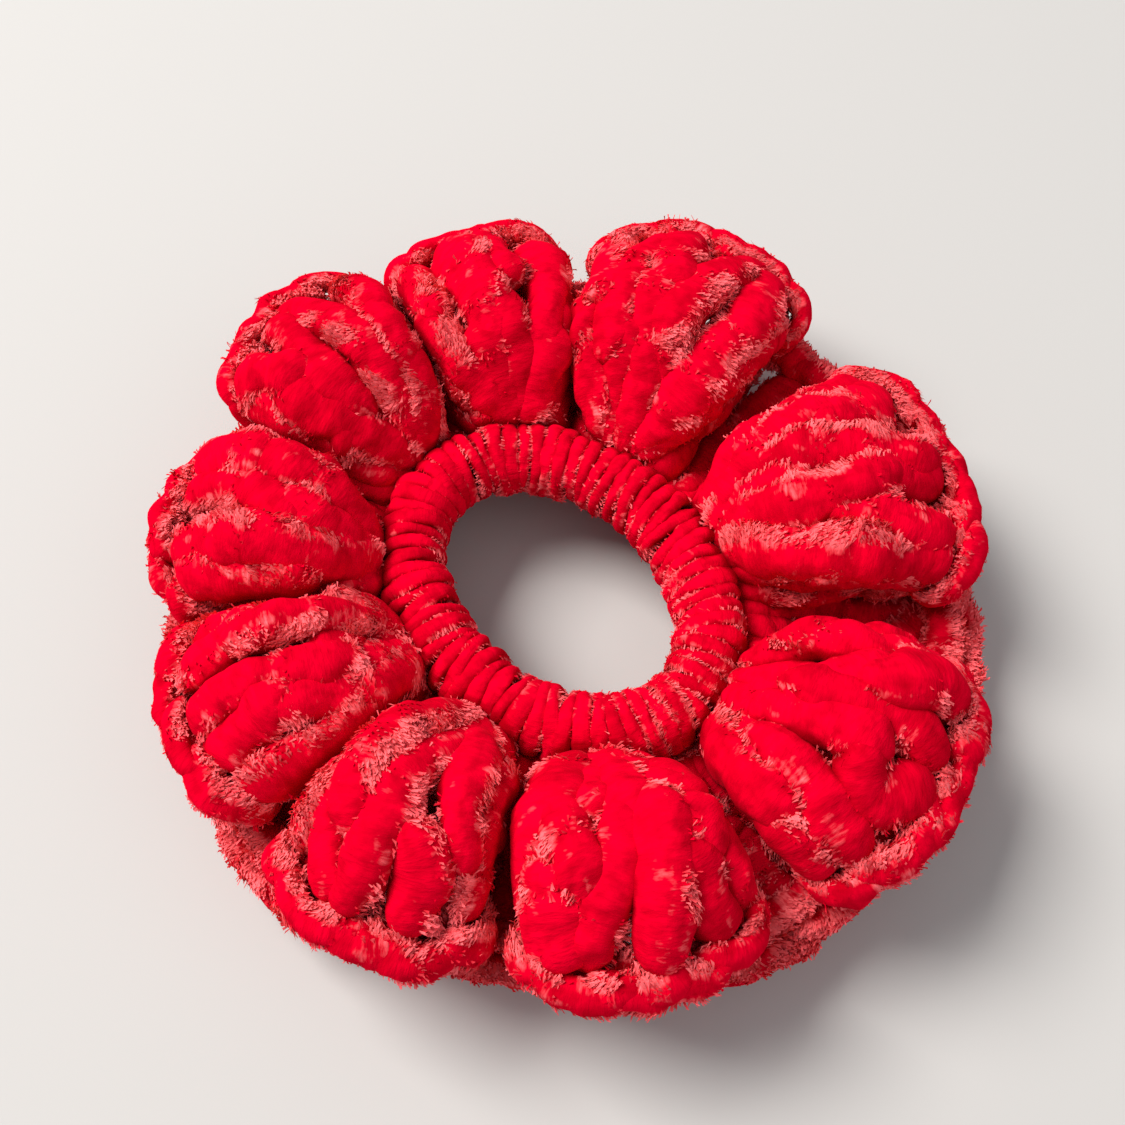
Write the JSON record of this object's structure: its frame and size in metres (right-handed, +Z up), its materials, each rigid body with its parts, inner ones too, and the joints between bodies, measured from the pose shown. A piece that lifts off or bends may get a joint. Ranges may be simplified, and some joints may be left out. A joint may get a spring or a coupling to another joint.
{
  "type": "scrunchie",
  "caption": "Thick crocheted chenille scrunchie: a full ruffle of puffed folds around a tightly stitched oval ring with a round hair elastic hidden inside.",
  "frame": {"origin": "middle of the base, on the surface that the scrunchie lies on", "axes": "+Z up through the hole; -Y is the front; the oval hole's long axis runs from the back left to the front right"},
  "size_m": [0.1468, 0.1512, 0.0413],
  "materials": {
    "chenille_yarn": "deep red velvet pile, paler and pinkish where the pile stands up",
    "rubber_core": "natural rubber thread",
    "elastic_braid": "fine braided sheath",
    "joint_sleeve": "satin bonded joint"
  },
  "bodies": {
    "sector_01": {"ring_stitches_01": "chenille_yarn", "upper_ruffle_1": "chenille_yarn", "elastic_sheath": "elastic_braid", "elastic_joint_sleeve": "joint_sleeve", "rubber_thread_1": "rubber_core", "rubber_thread_2": "rubber_core", "rubber_thread_3": "rubber_core", "rubber_thread_4": "rubber_core"},
    "sector_02": {"ring_stitches_02": "chenille_yarn", "lower_ruffle_1": "chenille_yarn"},
    "sector_03": {"ring_stitches_03": "chenille_yarn", "upper_ruffle_2": "chenille_yarn", "yarn_start_tail": "chenille_yarn"},
    "sector_04": {"ring_stitches_04": "chenille_yarn", "lower_ruffle_2": "chenille_yarn"},
    "sector_05": {"ring_stitches_05": "chenille_yarn", "upper_ruffle_3": "chenille_yarn"},
    "sector_06": {"ring_stitches_06": "chenille_yarn", "lower_ruffle_3": "chenille_yarn"},
    "sector_07": {"ring_stitches_07": "chenille_yarn", "upper_ruffle_4": "chenille_yarn"},
    "sector_08": {"ring_stitches_08": "chenille_yarn", "lower_ruffle_4": "chenille_yarn"},
    "sector_09": {"ring_stitches_09": "chenille_yarn", "upper_ruffle_5": "chenille_yarn"},
    "sector_10": {"ring_stitches_10": "chenille_yarn", "lower_ruffle_5": "chenille_yarn"},
    "sector_11": {"ring_stitches_11": "chenille_yarn", "upper_ruffle_6": "chenille_yarn"},
    "sector_12": {"ring_stitches_12": "chenille_yarn", "lower_ruffle_6": "chenille_yarn"},
    "sector_13": {"ring_stitches_13": "chenille_yarn", "upper_ruffle_7": "chenille_yarn"},
    "sector_14": {"ring_stitches_14": "chenille_yarn", "lower_ruffle_7": "chenille_yarn"},
    "sector_15": {"ring_stitches_15": "chenille_yarn", "upper_ruffle_8": "chenille_yarn"},
    "sector_16": {"ring_stitches_16": "chenille_yarn", "lower_ruffle_8": "chenille_yarn"},
    "sector_17": {"ring_stitches_17": "chenille_yarn", "upper_ruffle_9": "chenille_yarn", "yarn_end_tail": "chenille_yarn"},
    "sector_18": {"ring_stitches_18": "chenille_yarn", "lower_ruffle_9": "chenille_yarn", "fasten_off_knot": "chenille_yarn"}
  },
  "joints": [
    {"name": "stretch_02", "type": "slide", "parent": "sector_01", "child": "sector_02", "axis": [0.9872, 0.1598, 0], "range_m": [0, 0.00671], "stiffness_N_per_m": 300, "deforming": ["elastic_sheath", "rubber_thread_1", "rubber_thread_2", "rubber_thread_3", "rubber_thread_4", "yarn_start_tail", "yarn_end_tail"]},
    {"name": "stretch_03", "type": "slide", "parent": "sector_02", "child": "sector_03", "axis": [0.709, 0.7053, 0], "range_m": [0, 0.00681], "stiffness_N_per_m": 300, "deforming": ["elastic_sheath", "rubber_thread_1", "rubber_thread_2", "rubber_thread_3", "rubber_thread_4", "yarn_start_tail", "yarn_end_tail"]},
    {"name": "stretch_04", "type": "slide", "parent": "sector_03", "child": "sector_04", "axis": [0.1365, 0.9906, 0], "range_m": [0, 0.00809], "stiffness_N_per_m": 300, "deforming": ["elastic_sheath", "rubber_thread_1", "rubber_thread_2", "rubber_thread_3", "rubber_thread_4", "yarn_start_tail", "yarn_end_tail"]},
    {"name": "stretch_05", "type": "slide", "parent": "sector_04", "child": "sector_05", "axis": [-0.3168, 0.9485, 0], "range_m": [0, 0.00717], "stiffness_N_per_m": 300, "deforming": ["elastic_sheath", "rubber_thread_1", "rubber_thread_2", "rubber_thread_3", "rubber_thread_4", "yarn_start_tail", "yarn_end_tail"]},
    {"name": "stretch_06", "type": "slide", "parent": "sector_05", "child": "sector_06", "axis": [-0.5797, 0.8148, 0], "range_m": [0, 0.00604], "stiffness_N_per_m": 300, "deforming": ["elastic_sheath", "rubber_thread_1", "rubber_thread_2", "rubber_thread_3", "rubber_thread_4", "yarn_start_tail", "yarn_end_tail"]},
    {"name": "stretch_07", "type": "slide", "parent": "sector_06", "child": "sector_07", "axis": [-0.7631, 0.6463, 0], "range_m": [0, 0.00606], "stiffness_N_per_m": 300, "deforming": ["elastic_sheath", "rubber_thread_1", "rubber_thread_2", "rubber_thread_3", "rubber_thread_4", "yarn_start_tail", "yarn_end_tail"]},
    {"name": "stretch_08", "type": "slide", "parent": "sector_07", "child": "sector_08", "axis": [-0.8938, 0.4485, 0], "range_m": [0, 0.0047], "stiffness_N_per_m": 300, "deforming": ["elastic_sheath", "rubber_thread_1", "rubber_thread_2", "rubber_thread_3", "rubber_thread_4", "yarn_start_tail", "yarn_end_tail"]},
    {"name": "stretch_09", "type": "slide", "parent": "sector_08", "child": "sector_09", "axis": [-0.9794, 0.2019, 0], "range_m": [0, 0.00517], "stiffness_N_per_m": 300, "deforming": ["elastic_sheath", "rubber_thread_1", "rubber_thread_2", "rubber_thread_3", "rubber_thread_4", "yarn_start_tail", "yarn_end_tail"]},
    {"name": "stretch_10", "type": "slide", "parent": "sector_09", "child": "sector_10", "axis": [-0.9903, -0.1389, 0], "range_m": [0, 0.00482], "stiffness_N_per_m": 300, "deforming": ["elastic_sheath", "rubber_thread_1", "rubber_thread_2", "rubber_thread_3", "rubber_thread_4", "yarn_start_tail", "yarn_end_tail"]},
    {"name": "stretch_18", "type": "slide", "parent": "sector_01", "child": "sector_18", "axis": [-0.9682, 0.2503, 0], "range_m": [0, 0.00538], "stiffness_N_per_m": 300, "deforming": ["elastic_sheath", "rubber_thread_1", "rubber_thread_2", "rubber_thread_3", "rubber_thread_4", "yarn_start_tail", "yarn_end_tail"]},
    {"name": "stretch_17", "type": "slide", "parent": "sector_18", "child": "sector_17", "axis": [-0.8708, 0.4916, 0], "range_m": [0, 0.00486], "stiffness_N_per_m": 300, "deforming": ["elastic_sheath", "rubber_thread_1", "rubber_thread_2", "rubber_thread_3", "rubber_thread_4", "yarn_start_tail", "yarn_end_tail"]},
    {"name": "stretch_16", "type": "slide", "parent": "sector_17", "child": "sector_16", "axis": [-0.7532, 0.6578, 0], "range_m": [0, 0.00453], "stiffness_N_per_m": 300, "deforming": ["elastic_sheath", "rubber_thread_1", "rubber_thread_2", "rubber_thread_3", "rubber_thread_4", "yarn_start_tail", "yarn_end_tail"]},
    {"name": "stretch_15", "type": "slide", "parent": "sector_16", "child": "sector_15", "axis": [-0.6194, 0.7851, 0], "range_m": [0, 0.00449], "stiffness_N_per_m": 300, "deforming": ["elastic_sheath", "rubber_thread_1", "rubber_thread_2", "rubber_thread_3", "rubber_thread_4", "yarn_start_tail", "yarn_end_tail"]},
    {"name": "stretch_14", "type": "slide", "parent": "sector_15", "child": "sector_14", "axis": [-0.4634, 0.8862, 0], "range_m": [0, 0.00434], "stiffness_N_per_m": 300, "deforming": ["elastic_sheath", "rubber_thread_1", "rubber_thread_2", "rubber_thread_3", "rubber_thread_4", "yarn_start_tail", "yarn_end_tail"]},
    {"name": "stretch_13", "type": "slide", "parent": "sector_14", "child": "sector_13", "axis": [-0.264, 0.9645, 0], "range_m": [0, 0.00475], "stiffness_N_per_m": 300, "deforming": ["elastic_sheath", "rubber_thread_1", "rubber_thread_2", "rubber_thread_3", "rubber_thread_4", "yarn_start_tail", "yarn_end_tail"]},
    {"name": "stretch_12", "type": "slide", "parent": "sector_13", "child": "sector_12", "axis": [0.0352, 0.9994, 0], "range_m": [0, 0.00556], "stiffness_N_per_m": 300, "deforming": ["elastic_sheath", "rubber_thread_1", "rubber_thread_2", "rubber_thread_3", "rubber_thread_4", "yarn_start_tail", "yarn_end_tail"]},
    {"name": "stretch_11", "type": "slide", "parent": "sector_12", "child": "sector_11", "axis": [0.4663, 0.8846, 0], "range_m": [0, 0.00581], "stiffness_N_per_m": 300, "deforming": ["elastic_sheath", "rubber_thread_1", "rubber_thread_2", "rubber_thread_3", "rubber_thread_4", "yarn_start_tail", "yarn_end_tail"]}
  ],
  "couplings": [
    {"joint": "stretch_03", "follows": "stretch_02", "ratio": 1.0138},
    {"joint": "stretch_04", "follows": "stretch_02", "ratio": 1.2043},
    {"joint": "stretch_05", "follows": "stretch_02", "ratio": 1.0667},
    {"joint": "stretch_06", "follows": "stretch_02", "ratio": 0.89851},
    {"joint": "stretch_07", "follows": "stretch_02", "ratio": 0.90271},
    {"joint": "stretch_08", "follows": "stretch_02", "ratio": 0.69946},
    {"joint": "stretch_09", "follows": "stretch_02", "ratio": 0.77016},
    {"joint": "stretch_10", "follows": "stretch_02", "ratio": 0.7172},
    {"joint": "stretch_18", "follows": "stretch_02", "ratio": 0.80072},
    {"joint": "stretch_17", "follows": "stretch_02", "ratio": 0.72368},
    {"joint": "stretch_16", "follows": "stretch_02", "ratio": 0.67417},
    {"joint": "stretch_15", "follows": "stretch_02", "ratio": 0.66756},
    {"joint": "stretch_14", "follows": "stretch_02", "ratio": 0.64662},
    {"joint": "stretch_13", "follows": "stretch_02", "ratio": 0.70647},
    {"joint": "stretch_12", "follows": "stretch_02", "ratio": 0.8285},
    {"joint": "stretch_11", "follows": "stretch_02", "ratio": 0.86414}
  ]
}
